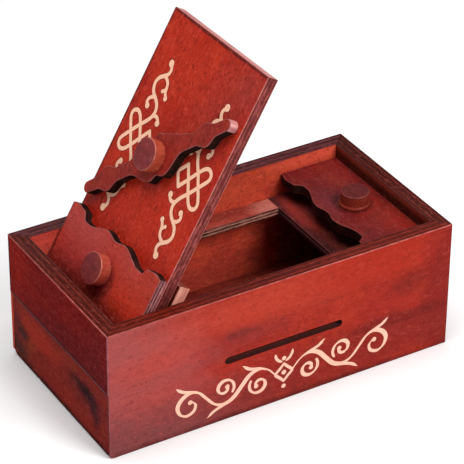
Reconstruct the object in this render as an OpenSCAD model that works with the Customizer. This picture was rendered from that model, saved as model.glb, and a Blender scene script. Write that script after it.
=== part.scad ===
// Wooden puzzle box with a tipping lid, a turning latch strip and a hidden drawer.
// Origin at the centre of the base, +Z up, +X towards the fixed end plate, +Y to the back.

/* [Box] */
// Outer length of the box
box_l = 180; // [170:1:200]
// Outer width of the box
box_w = 95; // [90:1:110]
// Outer height of the box
box_h = 66; // [64:0.5:70]
// Thickness of the outer walls
wall = 7.5; // [7:0.25:9]
// Height of the joint between the drawer front and the wall above it
seam_z = 34; // [32:0.5:36]
// Thickness of the bottom board
bottom_t = 4; // [3:0.5:5]

/* [Money slot] */
// Length of the money slot from end to end
slot_l = 62; // [40:1:80]
// Width of the money slot
slot_w = 3.6; // [3:0.1:5]
// Height of the slot's centre line above the base
slot_z = 32; // [31:0.5:34]

/* [Ledges] */
// Height of the top of the ledges
ledge_z = 47; // [46:0.5:48]
// Thickness of the ledge strips
ledge_t = 4.1; // [3:0.1:5]
// How far the front and back ledges stand out from the walls
ledge_out = 10; // [6:0.5:12]
// X of the inner edge of the cross ledge
ledge_x = 44.5; // [40:0.5:48]

/* [Lid] */
// Thickness of the lid board
lid_t = 5.8; // [5:0.1:6]
// Width of the lid board
lid_w = 78.4; // [77:0.1:79]
// Length of the lid board
lid_l = 129.3; // [126:0.1:129.5]
// Angle that the lid is tipped up by
lid_tip = 59.5; // [0:0.5:70]
// Angle that the loose lid is turned in its own plane when it is tipped up
lid_yaw = 1.2; // [0:0.1:1.5]
// Travel of the lid board over the left plate
lid_travel = 9.8; // [9:0.1:10]

/* [Plates, latch and knobs] */
// Thickness of the left plate
left_plate_t = 4.3; // [4:0.1:5]
// Thickness of the right plate
right_plate_t = 4.8; // [4:0.1:5]
// Height of the right plate's top face
right_plate_z = 58.6; // [58:0.1:59]
// Thickness of the latch strip
latch_t = 5; // [4:0.1:5.5]
// Length of the latch strip from tip to tip
latch_l = 98.4; // [94:0.2:98.4]
// Angle of the latch strip across the lid
latch_turn = 46.7; // [40:0.1:46.7]
// Diameter of the three knobs
knob_d = 15; // [12:0.5:16]
// Height of the two knobs on the lid
knob_h = 6; // [5:0.25:6.5]
// Height of the footed knob on the right plate
right_knob_h = 7; // [6:0.25:7.5]

/* [Drawer] */
// Height of the top edge of the drawer's cheeks
drawer_top = 29; // [24:0.5:29.5]
// Length of the two cheeks that brace the drawer front
cheek_l = 38; // [20:1:38]
// Thickness of the drawer's cheeks and back
drawer_t = 3; // [2.5:0.25:4]
// Thickness of the drawer's floor
drawer_floor_t = 3.5; // [3:0.25:4]
// How far the drawer front is set back from the end face
front_inset = 0.7; // [0.3:0.1:1.5]

/* [Hidden] */
$fn = 64;

hx = box_l / 2;              // half length outside
hy = box_w / 2;              // half width outside
ix = hx - wall;              // half length inside
iy = hy - wall;              // half width inside

run = 0.06;                  // radial clearance of a turning dowel
dowel_r = 3;                 // turning dowels
stem_r = 2.5;                // dowels that tie the left plate to the keeper bar

lid_z = ledge_z + 0.2;       // underside of the closed lid
lid_top = lid_z + lid_t;     // top face of the closed lid
lid_x1 = 49.3;               // right end of the closed lid, before it slides under the plate
lid_x0 = lid_x1 - lid_l;
plate_z = lid_top + 0.2;     // underside of the left plate and of the latch strip
left_base = -50.9;           // mean line of the left plate's wavy end
right_base = 51.4;           // mean line of the right plate's wavy end
tongue_x = -85;              // left end of the left plate, inside the end wall
latch_x = lid_x1 - 58.6;     // turning point of the latch on the closed lid
stem_x = left_base - 9.8;
stem_y = 22;
knob_in = 15.7;              // knob centre from the left plate's wavy end
lock_in = 16;                // knob centre from the right plate's wavy end
keeper_gap = 2.9;
keeper_t = 5.6;
keeper_w = 76;
keeper_x1 = left_base - 1.2;
keeper_x0 = keeper_x1 - 18;
pivot = [-73.9, 0, 61.1];    // where the loose lid turns as it is tipped up
lock_x = right_base + lock_in;
arm_z0 = 24.2;
arm_z1 = 28.2;

stain = "#a5281c";
stain_dark = "#8a2420";
plum = "#6d2a30";
bare = "#d9a48c";
inner = "#8c3526";

// Ripple of the plates' inner ends: offset at a distance y from the centre line.
plate_ripple = [[0, 0.9], [7.5, -0.6], [22.3, 3.6], [25.2, 3.6], [29, 0], [34.5, -0.8], [40, 0.2]];
// Half width of the latch strip at a distance a from its turning point.
latch_ripple = [[0, 8.9], [4.2, 10.4], [18.5, 3.3], [25.5, 3.3], [33.3, 6], [40.3, 3], [46.4, 2.8]];
// The same for the one quarter that was cut fuller.
latch_ripple_full = [[0, 9.4], [3, 10.2], [8, 8.5], [13, 6.8], [18, 5.1], [25, 3.2], [33.3, 5.2], [40.3, 3], [46.4, 2.8]];

function ease(a, b, t) = a + (b - a) * (1 - cos(180 * t)) / 2;
function seg(k, v, i = 0) = (i >= len(k) - 2 || v <= k[i + 1][0]) ? i : seg(k, v, i + 1);
function ripple(k, v) = let (i = seg(k, v), t = (v - k[i][0]) / (k[i + 1][0] - k[i][0]))
    ease(k[i][1], k[i + 1][1], min(1, max(0, t)));

// Puts children, modelled on the closed lid, into the tipped-up position.
module tipped() {
    translate(pivot) rotate([0, -lid_tip, 0]) rotate([0, 0, lid_yaw]) translate(-pivot) children();
}

// A wall with both ends mitred, its outer face along -Y at y = -d.
module mitred(half, d, t, z0, z1) {
    translate([0, 0, z0]) linear_extrude(z1 - z0)
        polygon([[-half, -d], [half, -d], [half - t, -d + t], [-half + t, -d + t]]);
}

// Cuts the corner at p off a wall: a, b and c are the signed lengths lost along X, Y and Z.
module worn_corner(p, a, b, c) {
    v = [1 / a, 1 / b, 1 / c];
    m = norm(v);
    translate(p) rotate([0, acos(v[2] / m), atan2(v[1], v[0])]) translate([-12, -12, -24 + 1 / m]) cube(24);
}

// A turned knob with a softened rim, standing on z = 0.
module knob_body() {
    r = knob_d / 2;
    rotate_extrude() polygon([[0, 0], [r - 0.2, 0], [r, 0.2], [r, knob_h - 0.5],
        [r - 0.15, knob_h - 0.15], [r - 0.5, knob_h], [0, knob_h]]);
}

// Outline of a plate whose rippled end faces +X, at mean line x = 0.
module rippled_end(len, w) {
    n = 41;
    polygon(concat(
        [for (i = [0 : n]) let (y = -w / 2 + w * i / n) [-ripple(plate_ripple, abs(y)), y]],
        [[-len, w / 2], [-len, -w / 2]]));
}

module latch_outline() {
    h = latch_l / 2 - 2.8;
    n = 62;
    polygon(concat(
        [for (i = [0 : n]) let (a = -h + 2 * h * i / n) [a, -ripple(latch_ripple, abs(a) * 46.4 / h)]],
        [for (i = [1 : 9]) [h + 2.8 * sin(18 * i), -2.8 * cos(18 * i)]],
        [for (i = [0 : n]) let (a = h - 2 * h * i / n) [a, ripple(a > 0 ? latch_ripple_full : latch_ripple, abs(a) * 46.4 / h)]],
        [for (i = [1 : 9]) [-h - 2.8 * sin(18 * i), 2.8 * cos(18 * i)]]));
}

// ---- box ----

module front_wall() {
    color(stain) difference() {
        mitred(hx, hy, wall, 0, box_h);
        worn_corner([-hx, -hy, 0], 3, 1.6, 1.6);
        translate([-slot_l / 2 + slot_w / 2, -hy - 1, slot_z - slot_w / 2]) cube([slot_l - slot_w, wall + 2, slot_w]);
        for (s = [-1, 1]) translate([s * (slot_l - slot_w) / 2, -hy - 1, slot_z])
            rotate([-90, 0, 0]) cylinder(h = wall + 2, d = slot_w);
    }
}

module back_wall() {
    color(stain) difference() {
        rotate([0, 0, 180]) mitred(hx, hy, wall, 0, box_h);
        worn_corner([-hx, hy, 0], 6, -3.2, 3.2);
    }
}

module right_wall() {
    color(stain) rotate([0, 0, 90]) mitred(hy, hx, wall, 0, box_h);
}

module left_wall() {
    color(stain_dark) difference() {
        rotate([0, 0, -90]) mitred(hy, hx, wall, seam_z, box_h);
        // pocket for the left plate's tongue, relieved below so that it can turn out
        translate([tongue_x - 0.3, -iy + 0.2, 50]) cube([-ix - tongue_x + 1.3, 2 * iy - 0.4, 8]);
    }
}

module bottom_board() {
    color(inner) translate([-ix, -iy, 0]) cube([2 * ix, 2 * iy, bottom_t]);
}

module front_ledge() {
    color(inner) translate([-44, -iy, ledge_z - ledge_t]) cube([44 + ledge_x, ledge_out, ledge_t]);
}

module back_ledge() {
    color(inner) translate([-44, iy - ledge_out, ledge_z - ledge_t]) cube([44 + ledge_x, ledge_out, ledge_t]);
}

module cross_ledge() {
    color(inner) difference() {
        translate([ledge_x, -iy, ledge_z - ledge_t]) cube([ix - ledge_x, 2 * iy, ledge_t]);
        translate([lock_x, 0, ledge_z - ledge_t - 1]) cylinder(h = ledge_t + 2, r = dowel_r + run);
    }
}

module plate_spacer() {
    z1 = right_plate_z - right_plate_t;
    color(bare) difference() {
        translate([61.5, -iy, ledge_z]) cube([ix - 61.5, 2 * iy, z1 - ledge_z]);
        translate([lock_x, 0, ledge_z - 1]) cylinder(h = z1 - ledge_z + 2, r = dowel_r + run);
    }
}

module right_plate() {
    color(stain_dark) difference() {
        translate([right_base, 0, right_plate_z - right_plate_t]) linear_extrude(right_plate_t)
            rotate([0, 0, 180]) rippled_end(ix - right_base, 2 * iy);
        translate([lock_x, 0, right_plate_z - right_plate_t - 1]) cylinder(h = right_plate_t + 2, r = dowel_r + run);
    }
}

// ---- left plate, which tips up with the lid ----

module left_plate() {
    color(stain_dark) tipped() translate([left_base, 0, plate_z]) linear_extrude(left_plate_t)
        rippled_end(left_base - tongue_x, lid_w);
}

module left_knob() {
    color(plum) tipped() translate([left_base - knob_in, 0, plate_z + left_plate_t]) knob_body();
}

module slide_dowel(y) {
    z0 = lid_z - keeper_gap;
    color(bare) tipped() translate([stem_x, y, z0]) cylinder(h = plate_z - z0, r = stem_r);
}

module slide_dowel_front() { slide_dowel(-stem_y); }

module slide_dowel_back() { slide_dowel(stem_y); }

module keeper_bar() {
    color(bare) tipped() translate([keeper_x0, -keeper_w / 2, lid_z - keeper_gap - keeper_t])
        cube([keeper_x1 - keeper_x0, keeper_w, keeper_t]);
}

// ---- lid board ----

module lid_board() {
    color(stain) tipped() difference() {
        translate([lid_x0, -lid_w / 2, lid_z]) cube([lid_l, lid_w, lid_t]);
        translate([latch_x, 0, lid_z - 1]) cylinder(h = lid_t + 2, r = dowel_r + run);
        for (s = [-1, 1]) {
            for (x = [stem_x, stem_x - lid_travel]) translate([x, s * stem_y, lid_z - 1]) cylinder(h = lid_t + 2, r = stem_r + 0.3);
            translate([stem_x - lid_travel, s * stem_y - stem_r - 0.3, lid_z - 1]) cube([lid_travel, 2 * stem_r + 0.6, lid_t + 2]);
        }
    }
}

// ---- latch ----

module latch_strip() {
    color(stain_dark) tipped() translate([latch_x, 0, plate_z]) rotate([0, 0, -latch_turn]) difference() {
        linear_extrude(latch_t) latch_outline();
        translate([0, 0, -1]) cylinder(h = latch_t + 2, r = dowel_r);
    }
}

module centre_knob() {
    color(plum) tipped() translate([latch_x, 0, plate_z + latch_t]) knob_body();
}

module pivot_dowel() {
    z0 = lid_z - 3.8;
    color(bare) tipped() translate([latch_x, 0, z0]) cylinder(h = plate_z + latch_t - z0, r = dowel_r);
}

module dowel_collar() {
    color(bare) tipped() translate([latch_x, 0, lid_z - 3.8]) difference() {
        cylinder(h = 3.5, r = 7);
        translate([0, 0, -1]) cylinder(h = 5.5, r = dowel_r);
    }
}

// ---- drawer ----

module drawer_front() {
    gap = 0.3;
    r = 3;
    xo = -hx + front_inset;
    yo = hy - front_inset - gap;
    yi = iy - gap;
    color(stain) difference() {
        translate([0, 0, 0.6]) linear_extrude(seam_z - 0.3 - 0.6)
            polygon([[xo, -yo], [-ix, -yi], [-ix, yi], [xo, yo]]);
        // both bottom corners are rounded over
        for (s = [0, 1]) mirror([0, s, 0]) difference() {
            translate([xo - 1, yo - r, -1]) cube([wall + 2, r + 2, r + 1.6]);
            translate([xo - 2, yo - r, r + 0.6]) rotate([0, 90, 0]) cylinder(h = wall + 4, r = r);
        }
    }
}

drawer_y = iy - 0.4;
drawer_x1 = 79;
drawer_z0 = bottom_t + 0.3;
drawer_z1 = drawer_z0 + drawer_floor_t;

module drawer_floor() {
    color(inner) translate([-ix, -drawer_y, drawer_z0])
        cube([drawer_x1 - drawer_t + ix, 2 * drawer_y, drawer_floor_t]);
}

module drawer_side_front() {
    color(inner) translate([-ix, -drawer_y, drawer_z1]) cube([cheek_l, drawer_t, drawer_top - drawer_z1]);
}

module drawer_side_back() {
    color(inner) translate([-ix, drawer_y - drawer_t, drawer_z1]) cube([cheek_l, drawer_t, drawer_top - drawer_z1]);
}

module drawer_back() {
    color(inner) translate([drawer_x1 - drawer_t, -drawer_y, drawer_z0])
        cube([drawer_t, 2 * drawer_y, arm_z0 - 0.7 - drawer_z0]);
}

module catch_block() {
    color(bare) translate([lock_x + 4.1, 7, drawer_z1])
        cube([drawer_x1 - drawer_t - lock_x - 4.1, 13, arm_z1 - drawer_z1]);
}

// ---- drawer lock ----

// This knob stands on a low foot and is slimmer above it.
module right_knob() {
    r = knob_d / 2;
    h = right_knob_h;
    color(plum) translate([lock_x, 0, right_plate_z + 0.1]) rotate_extrude()
        polygon([[0, 0], [r - 0.2, 0], [r, 0.2], [r, 1], [r - 0.6, 1.6], [r - 0.7, h - 0.5],
            [r - 0.85, h - 0.15], [r - 1.2, h], [0, h]]);
}

module lock_dowel() {
    color(bare) translate([lock_x, 0, arm_z1]) cylinder(h = right_plate_z + 0.1 - arm_z1, r = dowel_r);
}

module lock_arm() {
    color(bare) translate([lock_x, 0, arm_z0]) {
        cylinder(h = arm_z1 - arm_z0, r = 5);
        translate([-14, -3.5, 0]) cube([14, 7, arm_z1 - arm_z0]);
    }
}

front_wall();
back_wall();
right_wall();
left_wall();
bottom_board();
front_ledge();
back_ledge();
cross_ledge();
plate_spacer();
right_plate();
left_plate();
left_knob();
slide_dowel_front();
slide_dowel_back();
keeper_bar();
lid_board();
latch_strip();
centre_knob();
pivot_dowel();
dowel_collar();
drawer_front();
drawer_floor();
drawer_side_front();
drawer_side_back();
drawer_back();
catch_block();
right_knob();
lock_dowel();
lock_arm();
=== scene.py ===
import math

import bmesh
import bpy
from mathutils import Matrix, Vector
from mathutils.geometry import tessellate_polygon


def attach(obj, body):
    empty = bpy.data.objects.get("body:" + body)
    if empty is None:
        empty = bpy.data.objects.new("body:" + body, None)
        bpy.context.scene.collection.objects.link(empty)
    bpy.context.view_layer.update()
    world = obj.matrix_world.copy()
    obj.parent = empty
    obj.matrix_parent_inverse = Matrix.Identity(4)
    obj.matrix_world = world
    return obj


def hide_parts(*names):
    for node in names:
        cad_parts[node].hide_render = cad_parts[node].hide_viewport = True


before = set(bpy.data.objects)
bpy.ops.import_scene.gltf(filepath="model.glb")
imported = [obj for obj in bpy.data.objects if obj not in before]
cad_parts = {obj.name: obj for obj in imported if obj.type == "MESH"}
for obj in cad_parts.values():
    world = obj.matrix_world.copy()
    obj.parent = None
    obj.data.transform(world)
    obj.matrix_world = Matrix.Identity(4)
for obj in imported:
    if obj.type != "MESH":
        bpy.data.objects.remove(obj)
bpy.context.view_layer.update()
MM = 0.001

# ---------------------------------------------------------------- the tipped-up lid's place
TIP, YAW = math.radians(59.5), math.radians(1.2)
PIVOT = Vector((-73.9, 0.0, 61.1)) * MM
R_OPEN = Matrix.Rotation(-TIP, 4, "Y") @ Matrix.Rotation(YAW, 4, "Z")
M_OPEN = Matrix.Translation(PIVOT) @ R_OPEN @ Matrix.Translation(-PIVOT)
M_CLOSE = M_OPEN.inverted()
IDENT = Matrix.Identity(4)

LID_Z0, LID_Z1 = 47.2, 53.0
PLATE_Z = 53.2
LATCH_X = -9.3
LATCH_TURN = math.radians(46.7)
LEFT_BASE, RIGHT_BASE = -50.9, 51.4
LEFT_KNOB_X, RIGHT_KNOB_X = -66.6, 67.4

# ---------------------------------------------------------------- camera
AZ, EL, ROLL, DIST, TX, TY, FPX = -30.9718, 32.656, 0.4744, 1197.9064, 0.8912, -54.1361, 2549.6231


def make_camera():
    az, el, ro = math.radians(AZ), math.radians(EL), math.radians(ROLL)
    back = Vector((math.sin(az) * math.cos(el), -math.cos(az) * math.cos(el), math.sin(el)))
    fw = -back
    right = fw.cross(Vector((0, 0, 1))).normalized()
    up = right.cross(fw)
    right, up = math.cos(ro) * right + math.sin(ro) * up, -math.sin(ro) * right + math.cos(ro) * up
    down = -up
    loc = (right * TX + down * TY - fw * DIST) * MM
    cam = bpy.data.objects.new("camera", bpy.data.cameras.new("camera"))
    bpy.context.scene.collection.objects.link(cam)
    cam.data.sensor_width = 36.0
    cam.data.lens = 36.0 * FPX / 464.0
    cam.data.clip_start, cam.data.clip_end = 0.05, 20.0
    m = Matrix.Identity(4)
    for i in range(3):
        m[i][0], m[i][1], m[i][2], m[i][3] = right[i], up[i], back[i], loc[i]
    cam.matrix_world = m
    bpy.context.scene.camera = cam
    return cam


make_camera()

# ---------------------------------------------------------------- material kit


class Nodes:
    """Small helper for building a node tree."""

    def __init__(self, name):
        self.mat = bpy.data.materials.new(name)
        self.mat.use_nodes = True
        self.t = self.mat.node_tree
        self.t.nodes.clear()
        self.out = self.new("ShaderNodeOutputMaterial")
        self.bsdf = self.new("ShaderNodeBsdfPrincipled")
        self.link(self.bsdf.outputs[0], self.out.inputs[0])

    def new(self, kind, **props):
        n = self.t.nodes.new(kind)
        for k, v in props.items():
            setattr(n, k, v)
        return n

    def link(self, a, b):
        self.t.links.new(a, b)

    def put(self, socket, value):
        if hasattr(value, "is_linked") or hasattr(value, "links"):
            self.link(value, socket)
        else:
            socket.default_value = value

    def coords(self, local=False, offset=(0, 0, 0)):
        """Rest-pose coordinates in millimetres; local=True gives them in the closed lid's frame."""
        tc = self.new("ShaderNodeTexCoord")
        mp = self.new("ShaderNodeMapping", vector_type="POINT")
        self.link(tc.outputs["Object"], mp.inputs["Vector"])
        mp.inputs["Scale"].default_value = (1000, 1000, 1000)
        if local:
            q = M_CLOSE
            e = q.to_euler("XYZ")
            mp.inputs["Rotation"].default_value = tuple(e)
            mp.inputs["Location"].default_value = tuple(q.translation * 1000 + Vector(offset))
        else:
            mp.inputs["Location"].default_value = offset
        return mp.outputs[0]

    def scale(self, vec, s):
        mp = self.new("ShaderNodeMapping", vector_type="POINT")
        self.link(vec, mp.inputs["Vector"])
        mp.inputs["Scale"].default_value = s
        return mp.outputs[0]

    def noise(self, vec, scale=1.0, detail=4.0, rough=0.55, dist=0.0, dims="3D", w=0.0):
        n = self.new("ShaderNodeTexNoise", noise_dimensions=dims)
        self.link(vec, n.inputs["Vector"])
        n.inputs["Scale"].default_value = scale
        n.inputs["Detail"].default_value = detail
        n.inputs["Roughness"].default_value = rough
        n.inputs["Distortion"].default_value = dist
        return n.outputs["Fac"]

    def ramp(self, fac, lo, hi, a=0.0, b=1.0, smooth=True):
        m = self.new("ShaderNodeMapRange", interpolation_type="SMOOTHSTEP" if smooth else "LINEAR")
        self.put(m.inputs["Value"], fac)
        m.inputs["From Min"].default_value = lo
        m.inputs["From Max"].default_value = hi
        m.inputs["To Min"].default_value = a
        m.inputs["To Max"].default_value = b
        return m.outputs[0]

    def math(self, op, a, b=None, c=None, clamp=False):
        m = self.new("ShaderNodeMath", operation=op, use_clamp=clamp)
        self.put(m.inputs[0], a)
        if b is not None:
            self.put(m.inputs[1], b)
        if c is not None:
            self.put(m.inputs[2], c)
        return m.outputs[0]

    def mix(self, fac, a, b, blend="MIX"):
        m = self.new("ShaderNodeMix", data_type="RGBA", blend_type=blend)
        m.clamp_factor = True
        self.put(m.inputs[0], fac)
        self.put(m.inputs[6], a if not isinstance(a, tuple) else (*a, 1.0)[:4])
        self.put(m.inputs[7], b if not isinstance(b, tuple) else (*b, 1.0)[:4])
        return m.outputs[2]

    def axes(self, vec):
        s = self.new("ShaderNodeSeparateXYZ")
        self.link(vec, s.inputs[0])
        return s.outputs

    def combine(self, x, y, z):
        c = self.new("ShaderNodeCombineXYZ")
        self.put(c.inputs[0], x)
        self.put(c.inputs[1], y)
        self.put(c.inputs[2], z)
        return c.outputs[0]

    def blob(self, vec, centre, size, soft=0.35, wobble=0.25, wscale=0.12):
        """A soft-edged patch: 1 inside an ellipsoid of half-axes size at centre, 0 outside, with a ragged edge."""
        mp = self.new("ShaderNodeMapping", vector_type="POINT")
        self.link(vec, mp.inputs["Vector"])
        mp.inputs["Scale"].default_value = tuple(1.0 / s for s in size)
        mp.inputs["Location"].default_value = tuple(-c / s for c, s in zip(centre, size))
        ln = self.new("ShaderNodeVectorMath", operation="LENGTH")
        self.link(mp.outputs[0], ln.inputs[0])
        d = ln.outputs["Value"]
        if wobble:
            n = self.noise(vec, wscale, 3.0, 0.6)
            d = self.math("ADD", d, self.ramp(n, 0.25, 0.75, wobble, -wobble, False))
        return self.ramp(d, 1.0 - soft, 1.0 + soft, 1.0, 0.0)

    def bump(self, height, strength=0.3, distance=0.0003, normal=None):
        b = self.new("ShaderNodeBump")
        b.inputs["Strength"].default_value = strength
        b.inputs["Distance"].default_value = distance
        self.link(height, b.inputs["Height"])
        if normal is not None:
            self.link(normal, b.inputs["Normal"])
        return b.outputs[0]

    def finish(self, color, rough=0.4, normal=None, spec=0.45, coat=0.0, coat_rough=0.25):
        i = self.bsdf.inputs
        self.put(i["Base Color"], color if not isinstance(color, tuple) else (*color, 1.0)[:4])
        self.put(i["Roughness"], rough)
        i["Specular IOR Level"].default_value = spec
        i["Coat Weight"].default_value = coat
        i["Coat Roughness"].default_value = coat_rough
        if normal is not None:
            self.link(normal, i["Normal"])
        return self.mat


def srgb(r, g, b):
    f = lambda c: c / 12.92 if c <= 0.04045 else ((c + 0.055) / 1.055) ** 2.4
    return (f(r / 255.0), f(g / 255.0), f(b / 255.0))


# Trim of each finish's colours, stain and, where a name says so, painted shade, shadow, sheen or highlight: what its
# colours are multiplied by.
TINT = {
    "front_stain_and_sheen": (0.686, 0.481, 0.416),
    "left_stain": (1.146, 0.67, 0.609),
    "drawer_front_stain": (0.785, 0.965, 1.105),
    "rim_end": (0.967, 0.604, 0.324),
    "rim_long": (1.619, 0.64, 0.231),
    "lid_stain_and_sheen": (0.916, 0.66, 0.512),
    "lid_edge": (1.297, 0.816, 0.52),
    "left_plate_stain_and_shadow": (1.326, 0.969, 0.844),
    "latch_stain": (1.18, 0.702, 0.564),
    "knob_top_stain": (1.281, 1.036, 0.922),
    "knob_side_stain": (0.735, 0.631, 0.559),
    "right_knob_top_stain": (0.613, 0.322, 0.306),
    "right_knob_side_stain_and_shade": (0.7, 0.814, 0.682),
    "right_plate_stain_and_shadow": (0.641, 0.44, 0.548),
    "inner_stain_and_shade": (1.448, 1.352, 1.466),
    "ledge_stain_and_highlight": (0.816, 0.692, 0.581),
    "bare_maple_end": (1.095, 0.92, 0.855),
    "slot_edge": (1.0, 1.0, 1.0),
    "right_stain": (0.756, 0.6, 0.56),
    "back_stain": (0.756, 0.6, 0.56),
    "inner_end_stain": (1.48, 1.552, 1.672),
    "underside_stain": (1.48, 1.552, 1.672),
    "lid_underside_stain": (1.48, 1.552, 1.672),
    "ledge_edge": (1.0, 0.9, 0.8),
    "cross_edge": (1.0, 0.9, 0.8),
    "drawer_inside_stain": (0.66, 0.6, 0.66),
    "inner_floor_stain": (1.48, 1.552, 1.672),
    "left_plate_edge": (1.171, 0.949, 0.808),
    "rim_back": (0.766, 0.828, 0.802),
    "inner_right_stain_and_shade": (0.54, 0.58, 0.54),
}


def tinted(name, *colours):
    k = TINT.get(name, (1.0, 1.0, 1.0))
    return [tuple(min(1.0, a * b) for a, b in zip(c, k)) for c in colours]


GRAIN = {"x": (0.045, 1.0, 1.0), "y": (1.0, 0.045, 1.0), "z": (1.0, 1.0, 0.045)}


def wood_face(name, dark, mid, light, grain="x", local=False, seed=0.0, spec=0.12, rough=0.42,
              pore=0.35, streak=0.5, blotch=0.6, fleck=0.5, patches=(), coat=0.0, drift=0.4):
    """Stained, satin-lacquered wood veneer: slow blotches, streaks along the grain, fine pores.
    patches are (centre, half-axes, colour, strength, softness, raggedness, ragged scale) spots where the stain has
    taken differently, or where shade, shadow, sheen or a highlight is painted in."""
    n = Nodes(name)
    dark, mid, light = tinted(name, dark, mid, light)
    v = n.coords(local, (seed * 37.0, seed * 11.0, seed * 23.0))
    p0 = n.coords(local)
    g = n.scale(v, GRAIN[grain])
    big = n.noise(v, 0.028, 3.0, 0.55, 0.6)
    mids = n.noise(g, 0.16, 5.0, 0.6, 0.4)
    fine = n.noise(g, 1.1, 4.0, 0.62)
    pores = n.noise(n.scale(v, tuple(a * (0.5 if a < 1 else 3.2) for a in GRAIN[grain])), 1.0, 2.0, 0.5)
    mott = n.noise(v, 0.22, 4.0, 0.6)
    col = n.mix(n.ramp(big, 0.38, 0.66, 0.0, blotch), mid, light)
    col = n.mix(n.ramp(mott, 0.42, 0.75, 0.0, blotch * 0.7), col, dark)
    col = n.mix(n.ramp(mids, 0.46, 0.72, 0.0, streak), col, dark)
    col = n.mix(n.ramp(fine, 0.30, 0.46, 0.32, 0.0), col, light)
    hue = n.noise(v, 0.05, 3.0, 0.6, 1.0)
    col = n.mix(n.ramp(hue, 0.50, 0.70, 0.0, drift), col, (min(1.0, light[0] * 1.06), light[1] * 1.22, light[2] * 0.85))
    col = n.mix(n.ramp(hue, 0.50, 0.30, 0.0, drift), col, (mid[0] * 0.92, mid[1] * 0.88, mid[2] * 1.25))
    for c, s, colr, k, *more in patches:
        colr = tinted(name, colr)[0]
        b = n.blob(p0, c, s, more[0] if more else 0.5, more[1] if len(more) > 1 else 0.25, more[2] if len(more) > 2 else 0.12)
        col = n.mix(n.math("MULTIPLY", b, k), col, colr)
    gf = n.scale(v, tuple(0.55 if a < 1 else 1.0 for a in GRAIN[grain]))
    up = n.noise(gf, 0.62, 3.0, 0.7, 0.8)
    lift = tuple(min(1.0, c * 1.35 + e) for c, e in zip(light, (0.06, 0.055, 0.05)))
    col = n.mix(n.ramp(up, 0.47, 0.74, 0.0, fleck * 0.6), col, lift)
    down = n.noise(n.scale(gf, (1.37, 1.21, 1.13)), 0.55, 3.0, 0.7, 1.2)
    col = n.mix(n.ramp(down, 0.49, 0.70, 0.0, fleck), col, tuple(c * 0.42 for c in dark))
    dk = n.ramp(pores, 0.56, 0.72, 0.0, pore)
    col = n.mix(dk, col, tuple(c * 0.45 for c in dark))
    rgh = n.ramp(mids, 0.3, 0.75, rough - 0.05, rough + 0.10)
    h = n.math("SUBTRACT", n.math("MULTIPLY", fine, 0.5), n.math("MULTIPLY", dk, 0.9))
    nrm = n.bump(h, 0.22, 0.00012)
    nrm = n.bump(n.noise(v, 0.09, 2.0, 0.5), 0.12, 0.0006, nrm)
    return n.finish(col, rgh, nrm, spec, coat)


def ply_edge(name, axis, start, pitch, dark, light, local=False, seed=0.0, rough=0.5, contrast=0.8,
             along="x", wave=0.12, line=0.85, speck=0.0, shade=None):
    """Cut plywood edge: layers of the given pitch stacked along axis, alternately end grain and long grain."""
    n = Nodes(name)
    dark, light = tinted(name, dark, light)
    v = n.coords(local)
    s = n.coords(local, (seed * 13.0, seed * 29.0, seed * 7.0))
    g = n.scale(s, GRAIN[along])
    ax = n.axes(v)["XYZ".index(axis)]
    if axis != "Z":
        ax = n.math("ABSOLUTE", ax)
    wob = n.ramp(n.noise(n.scale(s, tuple(a * 0.25 for a in GRAIN[along])), 1.0, 3.0), 0.2, 0.8, -wave, wave, False)
    t = n.math("DIVIDE", n.math("ADD", n.math("SUBTRACT", ax, start), wob), pitch)
    tri = n.math("ABSOLUTE", n.math("SUBTRACT", n.math("FRACT", t), 0.5))
    even = n.math("PINGPONG", n.math("FLOOR", t), 1.0)
    gap = n.ramp(tri, 0.34, 0.47, 0.0, 1.0)
    grainy = n.noise(g, 1.3, 4.0, 0.65)
    blot = n.noise(s, 0.14, 3.0, 0.6)
    end = n.noise(s, 2.4, 3.0, 0.7)
    col = n.mix(n.math("MULTIPLY", even, contrast), dark, light)
    col = n.mix(n.ramp(blot, 0.4, 0.75, 0.0, 0.5), col, dark)
    col = n.mix(n.ramp(grainy, 0.5, 0.78, 0.0, 0.6), col, light)
    col = n.mix(n.ramp(end, 0.5, 0.75, 0.0, 0.55), col, tuple(c * 0.4 for c in dark))
    col = n.mix(n.math("MULTIPLY", gap, line), col, tuple(c * 0.35 for c in dark))
    if speck:
        sp = n.noise(n.scale(s, tuple(0.30 if a < 1 else 1.0 for a in GRAIN[along])), 0.9, 4.0, 0.7)
        col = n.mix(n.ramp(sp, 0.50, 0.66, 0.0, speck), col, tuple(min(1.0, c * 1.5 + 0.03) for c in light))
        col = n.mix(n.ramp(sp, 0.50, 0.36, 0.0, speck), col, tuple(c * 0.6 for c in dark))
    if shade:
        at, lo, hi, k = shade
        col = n.mix(n.ramp(n.axes(v)["XYZ".index(at)], lo, hi, k, 0.0), col, tuple(c * 0.45 for c in dark))
    h = n.math("SUBTRACT", n.math("MULTIPLY", grainy, 0.5), n.math("MULTIPLY", gap, 1.0))
    h = n.math("SUBTRACT", h, n.math("MULTIPLY", end, 0.4))
    nrm = n.bump(h, 0.5, 0.0002)
    return n.finish(col, n.ramp(grainy, 0.3, 0.7, rough - 0.05, rough + 0.12), nrm, 0.1)


def arris_wear_and_highlight(name, base, light, local=False, seed=0.0, amount=0.6, rough=0.45):
    """Rubbed arris: the stain is thinner and paler here and there along it; on the rim, corner, lid and knob arrises
    the paler colour is also a painted highlight.
    """
    n = Nodes(name)
    base, light = tinted(name, base, light)
    v = n.coords(local, (seed * 17.0, seed * 5.0, seed * 41.0))
    a = n.noise(v, 0.25, 4.0, 0.65)
    b = n.noise(v, 1.6, 3.0, 0.6)
    col = n.mix(n.ramp(a, 0.32, 0.62, 0.15, amount), base, light)
    col = n.mix(n.ramp(b, 0.5, 0.8, 0.0, 0.5), col, base)
    nrm = n.bump(b, 0.3, 0.00015)
    return n.finish(col, n.ramp(b, 0.3, 0.7, rough - 0.06, rough + 0.1), nrm, 0.15)


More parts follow.
